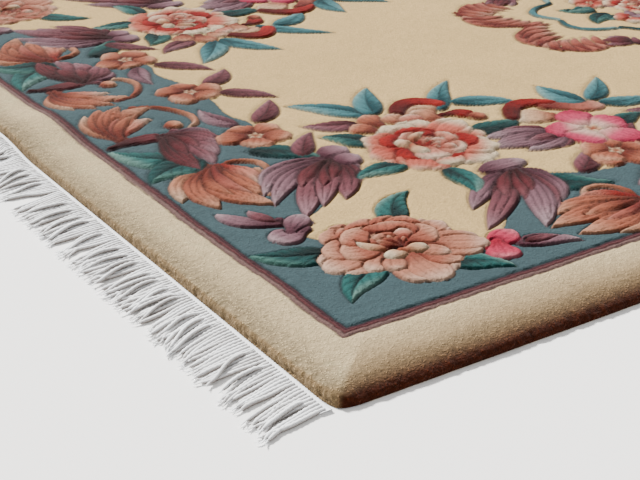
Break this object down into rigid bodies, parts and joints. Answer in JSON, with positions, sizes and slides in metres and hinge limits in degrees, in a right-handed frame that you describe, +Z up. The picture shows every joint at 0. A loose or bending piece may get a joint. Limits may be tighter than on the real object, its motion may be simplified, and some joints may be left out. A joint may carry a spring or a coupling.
{
  "type": "carved wool area rug with cotton fringe",
  "caption": "Rectangular carved wool rug with a floral border, corner sprays, an oval medallion and cotton fringe at both ends.",
  "frame": {"origin": "on the floor, under the middle of the rug", "axes": "+X along the rug's length, from the near fringe to the far fringe, +Y across its width, +Z up from the floor"},
  "size_m": [2.9026, 1.836, 0.0246],
  "materials": {
    "wool_pile": "matt cut wool pile in ivory, slate blue, peach, mauve, green and red, carved round each motif",
    "cotton_fringe": "matt white twisted cotton"
  },
  "bodies": {
    "root": {"rug_pile": "wool_pile", "fringe_near": "cotton_fringe", "fringe_far": "cotton_fringe"}
  },
  "joints": []
}
